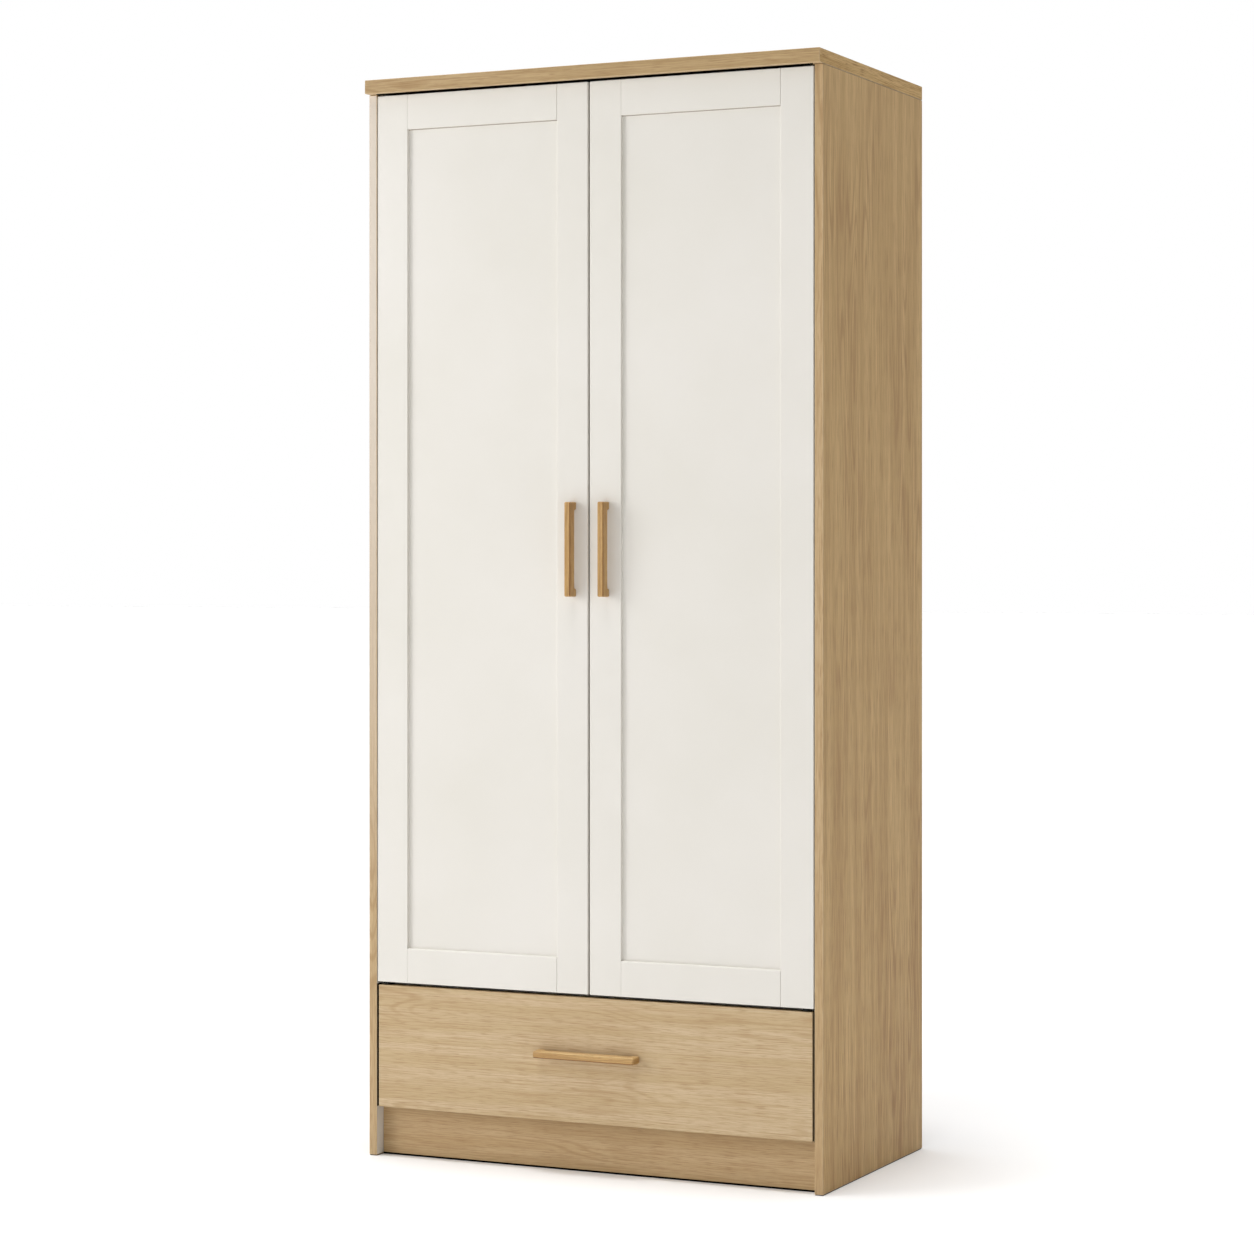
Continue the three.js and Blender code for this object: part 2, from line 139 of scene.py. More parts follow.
def wired(tree, shader, colour, pattern, rough, strength, depth, sunk=False):
    """Feeds a shader its colour, and a roughness and a relief that both follow one pattern."""
    tree.links.new(colour, shader.inputs["Base Color"])
    gloss = add(tree, "ShaderNodeMapRange", {
        "Value": pattern, "From Min": 0.3, "From Max": 0.7, "To Min": rough[0], "To Max": rough[1],
    }).outputs["Result"]
    tree.links.new(gloss, shader.inputs["Roughness"])
    relief = add(tree, "ShaderNodeBump", {
        "Height": pattern, "Strength": strength, "Distance": depth,
    }, invert=sunk).outputs["Normal"]
    tree.links.new(relief, shader.inputs["Normal"])


def oak_decor(name, pale, base, streak, ring, pore, painted_light=None, run=1.0):
    """Melamine board with a printed oak decor: satin, softly streaked, a faint pressed pore.

    The painted light, if given, is the colour that the decor turns to with height, brightening it
    towards the top: the colour, the heights in metres where that starts and ends, and the most it
    reaches. run draws the figure out along the grain.
    """
    tree, shader, made = surface(name, IOR=1.5)
    grain = wood_figure(
        tree,
        streak=(0.150 * run, 0.0022),
        pore=(0.036 * run, 0.0012),
        band=(0.90, 0.026),
        ring=(0.42 * run, 0.060, 62.0),
        wave=0.003 / run,
    )
    # The rings show only where a broad patch lets them.
    shown = [
        add(tree, "ShaderNodeMapRange", {
            "Value": grain[pattern], "From Min": low, "From Max": high,
        }).outputs["Result"]
        for pattern, low, high in (("ring", 0.1, 1.0), ("patch", 0.50, 0.66))
    ]
    lines = add(tree, "ShaderNodeMath", dict(enumerate(shown)), operation="MULTIPLY").outputs[0]
    layers = [
        (pale, grain["band"], 0.35, 0.65, 0.85),
        (streak, grain["streak"], 0.44, 0.74, 0.95),
        (ring, lines, 0.0, 1.0, 0.50),
        (pore, grain["pore"], 0.52, 0.74, 0.80),
    ]
    # Painted light: the decor turns paler with height.
    if painted_light is not None:
        place = add(tree, "ShaderNodeTexCoord").outputs["Object"]
        height = add(tree, "ShaderNodeSeparateXYZ", {"Vector": place}).outputs["Z"]
        layers.append((painted_light[0], height, *painted_light[1:]))
    colour = layered(tree, base, *layers)
    wired(tree, shader, colour, grain["pore"], (0.50, 0.58), 0.25, 0.0002, sunk=True)
    return made


def handle_timber(name, base, pale, streak, ring, pore):
    """Oiled solid hardwood: honey brown, fine straight grain, a low gloss."""
    tree, shader, made = surface(name, IOR=1.5)
    grain = wood_figure(
        tree,
        streak=(0.070, 0.0022),
        pore=(0.012, 0.0008),
        band=(0.25, 0.007),
        ring=(0.20, 0.015, 16.0),
        wave=0.001,
    )
    colour = layered(
        tree, base,
        (pale, grain["band"], 0.35, 0.65, 1.0),
        (streak, grain["streak"], 0.46, 0.74, 0.85),
        (ring, grain["ring"], 0.4, 1.0, 0.35),
        (pore, grain["pore"], 0.56, 0.78, 0.5),
    )
    wired(tree, shader, colour, grain["pore"], (0.38, 0.50), 0.2, 0.0001, sunk=True)
    return made


def smooth_sheet(name, light, dark, patch, grit, roughness, depth, **constants):
    """A sheet or moulded finish: two close tones in soft patches, and a fine grit in the gloss.

    patch and grit are the sizes of the two, and depth the height of the grit, in metres.
    """
    tree, shader, made = surface(name, **constants)
    place = add(tree, "ShaderNodeTexCoord").outputs["Object"]
    slow = add(tree, "ShaderNodeTexNoise", {
        "Vector": place, "Scale": 1 / patch, "Detail": 3.0, "Roughness": 0.55,
    }).outputs["Fac"]
    fine = add(tree, "ShaderNodeTexNoise", {
        "Vector": place, "Scale": 1 / grit, "Detail": 2.0, "Roughness": 0.5,
    }).outputs["Fac"]
    colour = layered(tree, light, (dark, slow, 0.30, 0.70, 1.0))
    wired(tree, shader, colour, fine, roughness, 0.3, depth)
    return made


# Melamine boards with an oak print: pale sand, softly streaked, satin.
OAK = oak_decor("oak_melamine", "#D0B995", "#C4AB82", "#B29268", "#A9875A", "#A7865E")
# A copy of the same decor, deeper and warmer as painted shade, with a longer figure, on the outer
# faces of the sides;
# it turns paler towards the top as painted light.
SIDE_SHADE_OAK = oak_decor(
    "deep_oak_melamine", "#D8B579", "#C29D61", "#A27739", "#92601D", "#8B5F28",
    painted_light=("#E8D0AC", 0.2, 1.9, 0.2), run=1.7,
)
# The edging on the ends of the top, in the same painted shade tone without the painted light towards
# the top.
END_SHADE_OAK = oak_decor("end_shade_oak_edging", "#DDBB83", "#C6A369", "#A67B3E", "#956420", "#8E632C")
# Warmer, darker copies of the decor: on the plinth it is painted shade under the drawer front; the
# right side's front edging takes the same tone, and the top's front a still warmer, darker one.
WARM_SHADE_OAK = oak_decor("warm_shade_oak_melamine", "#C8AB81", "#BC9E71", "#AA875A", "#A17D4D", "#9F7C51")
TOAST_OAK = oak_decor("toasted_oak_melamine", "#BB9F73", "#AF9365", "#9E7D4F", "#977444", "#957348")
# Edging that turns pale sand towards the top: painted light.
LIT_EDGE_OAK = oak_decor(
    "painted_light_oak_edging", "#C9AE86", "#BDA176", "#AB8A5E", "#A27F50", "#A07E54",
    painted_light=("#DBD0C2", 0.45, 1.45, 0.9),
)
# Oiled solid hardwood of the handles: honey brown, with a low gloss.
TIMBER = handle_timber("oiled_hardwood", "#BB9256", "#C49E64", "#A0753E", "#8E6331", "#83592D")
# A darker copy of the timber for the handles' rounded front corner: painted shade along it.
SHADED_EDGE_TIMBER = handle_timber("shaded_edge_hardwood", "#885E30", "#936938", "#744C24", "#66411C", "#623F1B")
# A paler copy of the timber for the top of the drawer's handle: painted light from above.
LIT_TOP_TIMBER = handle_timber("lit_top_hardwood", "#C7A46D", "#D1B27E", "#AA8450", "#977040", "#8C653B")
# Matt foil pressed over fibreboard: warm white, even, with a very fine orange peel.
CREAM = smooth_sheet(
    "cream_foil", "#E7E3DC", "#E2DED5", 0.35, 0.0016, (0.42, 0.50), 0.00005, IOR=1.5,
)
# Inside faces of the boards: pale linen grey melamine, quite matt.
LINEN = smooth_sheet(
    "linen_melamine", "#E2DED6", "#DCD7CE", 0.06, 0.0012, (0.50, 0.60), 0.00006, IOR=1.5,
)
# Grey under the doors' top rails, painting the shade line beneath them: the foil's tone darkened to
# grey, dull.
PAINTED_SHADE_GREY = smooth_sheet(
    "painted_shade_grey", "#A89D92", "#9F9489", 0.02, 0.0008, (0.70, 0.80), 0.00005, IOR=1.45,
)
# Raw back of hardboard: brown, matt, with short fibres.
HARDBOARD = smooth_sheet(
    "raw_hardboard", "#A47D56", "#A07952", 0.012, 0.0012, (0.76, 0.86), 0.0002, IOR=1.45,
)
# Bright zinc on pressed steel: cool grey, a soft shine, faintly cloudy.
ZINC = smooth_sheet(
    "zinc_plated_steel", "#BDC0C2", "#B9BCBF", 0.02, 0.0012, (0.30, 0.36), 0.00002, Metallic=1.0,
)
# The same steel blackened, on the pivots in the gaps: nearly black with a dull gleam, painting the
# shade of the gaps.
GAP_SHADE_ZINC = smooth_sheet(
    "gap_shade_black_zinc", "#2E2D2B", "#262523", 0.008, 0.0012, (0.38, 0.50), 0.00002, Metallic=1.0,
)
# Chromed tube: a clear mirror with the least haze.
CHROME = smooth_sheet(
    "chromed_steel", "#DADBDD", "#D3D5D7", 0.05, 0.0010, (0.06, 0.12), 0.00001, Metallic=1.0,
)
# Moulded nylon: milky white, smooth, softly shiny.
NYLON = smooth_sheet(
    "moulded_nylon", "#E8E6E0", "#E1DED7", 0.01, 0.0008, (0.34, 0.44), 0.00003, IOR=1.53,
)
# Black nylon of the bushes, painting the shade of the gap they sit in: deep, nearly matt, with a fine
# moulded grit.
GAP_SHADE_NYLON = smooth_sheet(
    "gap_shade_black_nylon", "#161513", "#100F0E", 0.01, 0.0008, (0.55, 0.66), 0.00004,
    IOR=1.53, Specular_IOR_Level=0.2,
)
# Matt black in the gaps, painting their shade: it takes in the light and has no shine at all.
SHADE_BLACK = smooth_sheet(
    "painted_shade_black", "#0B0A09", "#070706", 0.01, 0.0009, (0.92, 1.0), 0.0002,
    IOR=1.5, Specular_IOR_Level=0.0,
)
# Sintered ferrite of the catches' magnets: charcoal, dry.
FERRITE = smooth_sheet(
    "ferrite_magnet", "#3B3A39", "#333231", 0.004, 0.0008, (0.60, 0.72), 0.00006, IOR=1.6,
)


# ---------------------------------------------------------------- shapes

def outline(corners, radii, steps=4):
    """A closed outline with a round arc at each corner: points, outward normals, most inset.

    corners go round anticlockwise. At each corner the normal turns evenly from one edge's to
    the next one's, and the point is the arc's centre plus or minus radius times the normal:
    plus on an outside corner, minus on an inside one. An outside arc can be inset by less
    than its radius, an inside one by any amount.
    """
    corners = np.asarray(corners, float)
    radii = np.broadcast_to(np.asarray(radii, float), len(corners))[:, None]
    before = corners - np.roll(corners, 1, 0)
    before /= np.linalg.norm(before, axis=1, keepdims=True)
    after = np.roll(before, -1, 0)
    turn = np.arctan2(
        before[:, 0] * after[:, 1] - before[:, 1] * after[:, 0], (before * after).sum(1)
    )[:, None]
    side = np.sign(turn)
    normal = np.stack([before[:, 1], -before[:, 0]], 1)
    centre = corners - before * radii * np.tan(abs(turn) / 2) - side * radii * normal
    angle = turn * np.linspace(0, 1, steps + 1)
    spun = np.stack([
        normal[:, :1] * np.cos(angle) - normal[:, 1:] * np.sin(angle),
        normal[:, :1] * np.sin(angle) + normal[:, 1:] * np.cos(angle),
    ], 2)
    points = centre[:, None] + (side * radii)[:, None] * spun
    most = np.where(side > 0, 0.9 * radii, 1.0) * np.ones(steps + 1)
    return points.reshape(-1, 2), spun.reshape(-1, 2), most.reshape(-1)


def round_ends(low, high, radius, steps=3):
    """Stations of a bar from low to high with rounded ends: position, inset and lean.

    At lean a, the station is radius * (1 - sin a) from the end, and inset by
    radius * (1 - cos a).
    """
    lean = np.linspace(0, np.pi / 2, steps + 1)
    inset = radius * (1 - np.cos(lean))
    reach = radius * (1 - np.sin(lean))
    start = np.stack([low + reach, inset, -lean], 1)[::-1]
    end = np.stack([high - reach, inset, lean], 1)
    return np.concatenate([start, end])


def carried(section, stations, axis, grain="along", shift=(0.0, 0.0)):
    """A section carried along an axis, closed at both ends: points, faces, grain map, normals.

    Each station moves the section's outline inwards by its inset, and leans its normals
    towards the axis. The grain map holds metres: along the axis and round the outline, or
    the other way about when the grain runs round. Ends take the grain along their long side.
    """
    flat, facing, most = section
    count, rows = len(flat), len(stations)
    at, inset, lean = stations.T
    ring = flat[None] - np.minimum(inset[:, None], most)[..., None] * facing[None]
    points = np.empty((rows, count, 3))
    normals = np.empty((rows, count, 3))
    across = [(1, 2), (2, 0), (0, 1)][axis]
    points[..., across] = ring
    points[..., axis] = at[:, None]
    normals[..., across] = facing * np.cos(lean)[:, None, None]
    normals[..., axis] = np.sin(lean)[:, None]
    row, column = np.meshgrid(np.arange(rows - 1), np.arange(count), indexing="ij")
    nxt = (column + 1) % count
    quads = np.stack([
        row * count + column, row * count + nxt,
        (row + 1) * count + nxt, (row + 1) * count + column,
    ], 2).reshape(-1, 4)
    step = np.linalg.norm(np.roll(flat, -1, 0) - flat, axis=1)
    around = np.concatenate([[0], np.cumsum(step)])
    u = np.stack([at[row], at[row], at[row + 1], at[row + 1]], 2).reshape(-1)
    v = np.stack([
        around[column], around[column + 1], around[column + 1], around[column],
    ], 2).reshape(-1)
    ends = ring[[0, -1]]
    long_side = int(np.ptp(flat[:, 1]) > np.ptp(flat[:, 0]))
    cap = ends[..., [long_side, 1 - long_side]]
    cap = np.concatenate([cap[0][::-1], cap[1]]) + (0.37, 0.61)
    sides = np.stack([u, v] if grain == "along" else [v, u], 1)
    last = (rows - 1) * count
    faces = quads.tolist() + [list(range(count))[::-1], list(range(last, last + count))]
    return {
        "points": points.reshape(-1, 3),
        "faces": faces,
        "grain": np.concatenate([sides, cap]) + shift,
        "normals": normals.reshape(-1, 3),
        "tones": np.zeros(len(faces), int),
    }


def turned(profile, centre, toward, sides=24):
    """A profile turned about an axis from centre along toward: rings of (radius, height).

    The profile runs from the bottom of the axis to its top. Its first and last rows lie on the
    axis and become poles: point = centre + radius * (cos a, sin a) + height * toward.
    """
    profile = np.asarray(profile, float)
    toward = np.asarray(toward, float)
    side = np.cross(toward, [0.0, 0.0, 1.0] if abs(toward[2]) < 0.9 else [1.0, 0.0, 0.0])
    side /= np.linalg.norm(side)
    other = np.cross(toward, side)
    angle = np.linspace(0, 2 * np.pi, sides, endpoint=False)
    radial = np.cos(angle)[:, None] * side + np.sin(angle)[:, None] * other
    radius, height = profile[1:-1].T
    rings = radius[:, None, None] * radial + height[:, None, None] * toward
    ends = profile[[0, -1], 1][:, None] * toward
    points = np.concatenate([rings.reshape(-1, 3), ends]) + np.asarray(centre, float)
    rows = len(radius)
    row, column = np.meshgrid(np.arange(rows - 1), np.arange(sides), indexing="ij")
    nxt = (column + 1) % sides
    quads = np.stack([
        row * sides + column, row * sides + nxt,
        (row + 1) * sides + nxt, (row + 1) * sides + column,
    ], 2).reshape(-1, 4)
    around = np.arange(sides)
    after = (around + 1) % sides
    low, high = rows * sides, rows * sides + 1
    bottom = np.stack([np.full(sides, low), after, around], 1)
    last = (rows - 1) * sides
    top = np.stack([around + last, after + last, np.full(sides, high)], 1)
    faces = quads.tolist() + bottom.tolist() + top.tolist()
    corners = np.concatenate([quads.ravel(), bottom.ravel(), top.ravel()])
    return {
        "points": points,
        "faces": faces,
        "grain": points[corners][:, :2],
        "normals": np.zeros_like(points),
        "tones": np.zeros(len(faces), int),
    }


def screw(centre, toward, radius, rise, recess=0.5):
    """A screw head with a cross recess, its seat at centre.

    Height is rise * (1 - 0.7 * (r / radius)^2) over the head. Within half the radius, and where
    the point is close to either arm of a cross, it drops by recess * rise.
    """
    share_out = np.array([0.10, 0.17, 0.24, 0.32, 0.40, 0.48, 0.56, 0.70, 0.85, 0.96, 1.0])
    lift = rise * (1 - 0.7 * share_out ** 2)
    rings = [(radius * s, h) for s, h in zip(share_out[::-1], lift[::-1])]
    profile = [(0.0, 0.0), (radius, 0.0), *rings, (0.0, rise)]
    made = turned(profile, (0.0, 0.0, 0.0), (0.0, 0.0, 1.0), 32)
    x, y, z = made["points"].T
    out = np.hypot(x, y) / radius
    arm = np.clip((0.16 - np.minimum(abs(x), abs(y)) / radius) / 0.06, 0, 1)
    within = np.clip((0.54 - out) / 0.08, 0, 1)
    z -= np.where(z > 0.25 * rise, recess * rise * arm * within, 0.0)
    toward = np.asarray(toward, float)
    side = np.cross(toward, [0.0, 0.0, 1.0] if abs(toward[2]) < 0.9 else [1.0, 0.0, 0.0])
    side /= np.linalg.norm(side)
    basis = np.stack([side, np.cross(toward, side), toward])
    made["points"] = np.stack([x, y, z], 1) @ basis + np.asarray(centre, float)
    return made


def joined(*shapes):
    """Several shapes as one."""
    starts = np.cumsum([0] + [len(s["points"]) for s in shapes])
    return {
        "points": np.concatenate([s["points"] for s in shapes]),
        "faces": [[i + int(b) for i in f] for s, b in zip(shapes, starts) for f in s["faces"]],
        "grain": np.concatenate([s["grain"] for s in shapes]),
        "normals": np.concatenate([s["normals"] for s in shapes]),
        "tones": np.concatenate([s["tones"] for s in shapes]),
    }


def piece(name, shape, body, finishes, stands_for=()):
    """Makes the mesh of a shape, gives it its finishes and hangs it on its body."""
    mesh = bpy.data.meshes.new(name)
    mesh.from_pydata(shape["points"].tolist(), [], shape["faces"])
    layer = mesh.uv_layers.new(name="grain")
    layer.uv.foreach_set("vector", shape["grain"].astype(np.float32).ravel())
    mesh.polygons.foreach_set("use_smooth", np.ones(len(mesh.polygons), bool))
    if not shape["normals"].any(1).all():
        mesh.set_sharp_from_angle(angle=np.radians(35))
    mesh.normals_split_custom_set_from_vertices(shape["normals"].tolist())
    for finish in finishes:
        mesh.materials.append(finish)
    mesh.polygons.foreach_set("material_index", shape["tones"].astype(np.int32))
    mesh.validate()
    made = bpy.data.objects.new(name, mesh)
    bpy.context.scene.collection.objects.link(made)
    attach(made, body)
    if stands_for:
        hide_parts(*stands_for)
    return made


def span(node):
    """The lowest and highest corner of a CAD node, as arrays."""
    low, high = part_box(node)
    return np.array(low), np.array(high)


def board(node, along, edge, shift=(0.0, 0.0), end=None, faces=(), short=(0.0, 0.0), lift=0.0):
    """A flat board in a node's box, its long edges rounded by edge, its grain along an axis.

    edge is one radius, or one for each long edge, anticlockwise from the lowest corner of the
    cross section. end is the radius at both ends. Each of faces is (axis, sign) of a face
    that takes the next finish after the first. short shortens the two ends, and lift raises
    the underside.
    """
    low, high = span(node)
    low[along] += short[0]
    high[along] -= short[1]
    low[2] += lift
    a, b = [(1, 2), (2, 0), (0, 1)][along]
    corners = [(low[a], low[b]), (high[a], low[b]), (high[a], high[b]), (low[a], high[b])]
    stations = round_ends(low[along], high[along], 0.85 * np.max(edge) if end is None else end)
    made = carried(outline(corners, edge), stations, along, shift=shift)
    facing = np.array([made["normals"][f].mean(0) for f in made["faces"]])
    for tone, (axis, sign) in enumerate(faces, 1):
        made["tones"][facing[:, axis] * sign > 0.999] = tone
    return made


def block(low, high, along, edge):
    """A block between two corners with rounded edges."""
    a, b = [(1, 2), (2, 0), (0, 1)][along]
    corners = [(low[a], low[b]), (high[a], low[b]), (high[a], high[b]), (low[a], high[b])]
    return carried(outline(corners, edge), round_ends(low[along], high[along], 0.85 * edge), along)


def bow_handle(node, upright):
    """A bow handle cut from one bar: a straight grip with a foot at each end.

    Its side view is carried across its width: foot, cove, grip, cove, foot. The rounded front
    corner takes the second finish, painted shade, and the top of a level handle the third, painted
    light.
    """
    low, high = span(node)
    length, across = (2, 0) if upright else (0, 2)
    shifts, round_over = ((2.2, 2.2), 2.0 * MM) if upright else ((0.3, 1.2), 3.0 * MM)
    low[across] += shifts[0] * MM
    high[across] += shifts[1] * MM
    front, back = low[1], high[1]
    start, end = low[length], high[length]
    grip, foot, cove = 18.5 * MM, 14 * MM, 4 * MM
    corners = [
        (front, start), (back, start), (back, start + foot), (front + grip, start + foot),
        (front + grip, end - foot), (back, end - foot), (back, end), (front, end),
    ]
    radii = np.array([3.0, 1.2, 2.4, cove / MM, cove / MM, 2.4, 1.2, 3.0]) * MM
    stations = round_ends(low[across], high[across], round_over, 5)
    if upright:
        made = carried(outline(corners, radii), stations, 0, grain="around")
    else:
        flipped = [(along, depth) for depth, along in corners[::-1]]
        made = carried(outline(flipped, radii[::-1]), stations, 2, grain="around")
    facing = np.array([made["normals"][f].mean(0) for f in made["faces"]])
    corner = facing[:, 0] if upright else -facing[:, 2]
    # Painted shade on the rounded front corner: the side corner of an upright handle, the lower one of
    # a level handle.
    made["tones"][(corner > 0.30) & (corner < 0.93) & (facing[:, 1] < -0.3)] = 1
    if not upright:
        # Painted light on the top of a level handle.
        made["tones"][corner < -0.35] = 2
    return made


# ---------------------------------------------------------------- carcass

# Edge roundings: of the decor boards, and of the thinner white ones.
EDGE, WHITE_EDGE, SHEET_EDGE = 1.0 * MM, 0.6 * MM, 0.3 * MM
# What is cut off the side boards at the floor and under the top, and how high the plinth stands.
SIDE_CUT = (1.3 * MM, 0.3 * MM)
PLINTH_LIFT = 2.4 * MM
# The black strips under the side boards, which paint the contact shadow at the floor: how far they
# reach up past the cut and are set back, and their edge.
FOOT_SHADE_OVERLAP, FOOT_SHADE_INSET, FOOT_SHADE_EDGE = 0.3 * MM, 1 * MM, 0.2 * MM
# The top's ends take the painted shade tone of the sides, and its front the toasted tone.
piece(
    "top_board", board("top_panel", 0, EDGE, (0.2, 0.1), faces=[(0, -1), (0, 1), (1, -1)]),
    "carcass", [OAK, END_SHADE_OAK, END_SHADE_OAK, TOAST_OAK], ["top_panel"],
)
for hand, sign in (("left", -1), ("right", 1)):
    node = "side_panel_" + hand
    grown = board(
        node, 2, EDGE, (1.7 * sign, 0.45 * sign), end=1.4 * MM,
        faces=[(0, -sign), (0, sign), (1, -1)], short=SIDE_CUT,
    )
    # The outer face takes the painted shade copy of the decor, paler towards the top as painted light;
    # the front edge takes painted light towards the top on the left, and the warmer, darker tone on
    # the right.
    piece(
        hand + "_side_board", grown, "carcass",
        [OAK, LINEN, SIDE_SHADE_OAK, LIT_EDGE_OAK if hand == "left" else WARM_SHADE_OAK], [node],
    )
    # A thin black strip under the side paints its contact shadow at the floor.
    low, high = span(node)
    a = np.array([low[0] + FOOT_SHADE_INSET, low[1] + FOOT_SHADE_INSET, 0.1 * MM])
    b = np.array([high[0] - FOOT_SHADE_INSET, high[1] - FOOT_SHADE_INSET, SIDE_CUT[0] + FOOT_SHADE_OVERLAP])
    piece(hand + "_foot_shade_strip", block(a, b, 1, FOOT_SHADE_EDGE), "carcass", [SHADE_BLACK])

# The plinth board takes the warmer, darker tone, painted shade under the drawer front, and stands on a
# black strip that paints the shadow line at the floor.
piece(
    "plinth_board", board("plinth_front", 0, EDGE, (3.1, 0.9), lift=PLINTH_LIFT),
    "carcass", [WARM_SHADE_OAK], ["plinth_front"],
)
piece(
    "rear_plinth_board", board("plinth_rear", 0, EDGE, (4.1, 1.9)),
    "carcass", [OAK], ["plinth_rear"],
)
for name, node in (("hat_board", "hat_shelf"), ("bottom_board", "bottom_panel")):
    piece(name, board(node, 0, WHITE_EDGE), "carcass", [LINEN], [node])

# The shelf behind the gap between doors and drawer has its front edge in black, painting the shade of
# the gap.
piece(
    "floor_board", board("floor_shelf", 0, WHITE_EDGE, faces=[(1, -1)]),
    "carcass", [LINEN, SHADE_BLACK], ["floor_shelf"],
)
for hand in ("left", "right"):
    node = "back_board_" + hand
    piece(
        hand + "_back_sheet", board(node, 2, SHEET_EDGE, faces=[(1, 1)]),
        "carcass", [LINEN, HARDBOARD], [node],
    )

# ---------------------------------------------------------------- doors and drawer

# A door's outer edges are rounded most. Where stile meets rail both are eased a little, which
# leaves the fine joint line.
OUTER, TIP, INNER, SILL, JOINT = 2.2 * MM, 1.0 * MM, 1.5 * MM, 3.2 * MM, 0.45 * MM
FRAME = (
    ("hinge_stile", 2, (TIP, JOINT, JOINT, TIP), (INNER, TIP, TIP, JOINT), TIP),
    ("meeting_stile", 2, (INNER, OUTER, OUTER, JOINT), (OUTER, JOINT, JOINT, OUTER), TIP),
    ("top_rail", 0, (JOINT, JOINT, TIP, TIP), (JOINT, JOINT, TIP, TIP), JOINT),
    ("bottom_rail", 0, (TIP, TIP, JOINT, SILL), (TIP, TIP, JOINT, SILL), JOINT),
    ("panel", 2, 0.4 * MM, 0.4 * MM, 0.3 * MM),
)
for hand in ("left", "right"):
    body = hand + "_door"
    for part, along, left_edge, right_edge, end in FRAME:
        node = f"{hand}_door_{part}"
        edge = left_edge if hand == "left" else right_edge
        grown = board(node, along, edge, end=end)
        piece(f"{hand}_{part}", grown, body, [CREAM], [node])
    # A grey bead paints the fine shade line where the panel meets the top rail.
    rail_low, rail_high = span(f"{hand}_door_top_rail")
    face = span(f"{hand}_door_panel")[0][1]
    a = np.array([rail_low[0], face - 0.7 * MM, rail_low[2] - 1.4 * MM])
    b = np.array([rail_high[0], face + 1 * MM, rail_low[2] + 0.5 * MM])
    piece(hand + "_shade_bead", block(a, b, 0, 0.3 * MM), body, [PAINTED_SHADE_GREY])
    node = hand + "_door_handle"
    # The handle's rounded front corner takes painted shade.
    piece(hand + "_pull", bow_handle(node, True), body, [TIMBER, SHADED_EDGE_TIMBER], [node])

piece(
    "drawer_face", board("drawer_front", 0, EDGE, (5.3, 0.33)),
    "drawer", [OAK], ["drawer_front"],
)
# The drawer handle's lower front corner takes painted shade, its top painted light.
piece(
    "drawer_pull", bow_handle("drawer_handle", False), "drawer",
    [TIMBER, SHADED_EDGE_TIMBER, LIT_TOP_TIMBER], ["drawer_handle"],
)

for name, node in (
    ("drawer_left_side", "drawer_side_left"), ("drawer_right_side", "drawer_side_right"),
    ("drawer_back_board", "drawer_back"), ("drawer_base_sheet", "drawer_base"),
):
    along = 1 if "side" in node else 0
    edge = 0.5 * MM if "base" in node else 0.8 * MM
    piece(name, board(node, along, edge), "drawer", [LINEN], [node])

# ---------------------------------------------------------------- hardware


def slide_member(node, web_outside):
    """A rolled steel channel along Y: a C section with round bends, its web to one side."""
    low, high = span(node)
    sheet, bend = 1.2 * MM, 2.4 * MM
    right = low[0] > 0
    web, lip = (high[0], low[0]) if right == web_outside else (low[0], high[0])
    turn = 1.0 if lip > web else -1.0
    inner = web + turn * sheet
    corners = np.array([
        (web, low[2]), (lip, low[2]), (lip, low[2] + sheet), (inner, low[2] + sheet),
        (inner, high[2] - sheet), (lip, high[2] - sheet), (lip, high[2]), (web, high[2]),
    ])
    lip_edge = 0.45 * sheet
    radii = np.array([bend, lip_edge, lip_edge, sheet, sheet, lip_edge, lip_edge, bend])
    section = corners[:, ::-1] if turn > 0 else corners[::-1, ::-1]
    order = radii if turn > 0 else radii[::-1]
    return carried(outline(section, order), round_ends(low[1], high[1], 0.2 * MM), 1)


# The oval rail: its section's corners are rounded by all but half its thickness.
low, high = span("hanging_rail")
oval = outline(
    [(low[1], low[2]), (high[1], low[2]), (high[1], high[2]), (low[1], high[2])],
    0.499 * (high[1] - low[1]), 10,
)
piece(
    "clothes_rail", carried(oval, round_ends(low[0], high[0], 0.3 * MM), 0),
    "carcass", [CHROME], ["hanging_rail"],
)

# Screw heads as (radius, rise): of the handles, and of the pivot plates.
HANDLE_SCREW, PIVOT_SCREW = (4 * MM, 2.2 * MM), (3.4 * MM, 0.9 * MM)
# The pivot plates' thickness.
PLATE = 2 * MM
# How far a handle's screws are from its ends, and a pivot plate's from its back end.
HANDLE_SCREW_IN, PIVOT_SCREWS_IN = 7 * MM, (15 * MM, 33 * MM)
# A cover cap's side view, from its seat to its middle, as (radius, height).
CAP = [
    (0, 0), (8.5 * MM, 0), (8.5 * MM, 0.6 * MM),
    (8.0 * MM, 1.1 * MM), (3 * MM, 1.3 * MM), (0, 1.3 * MM),
]

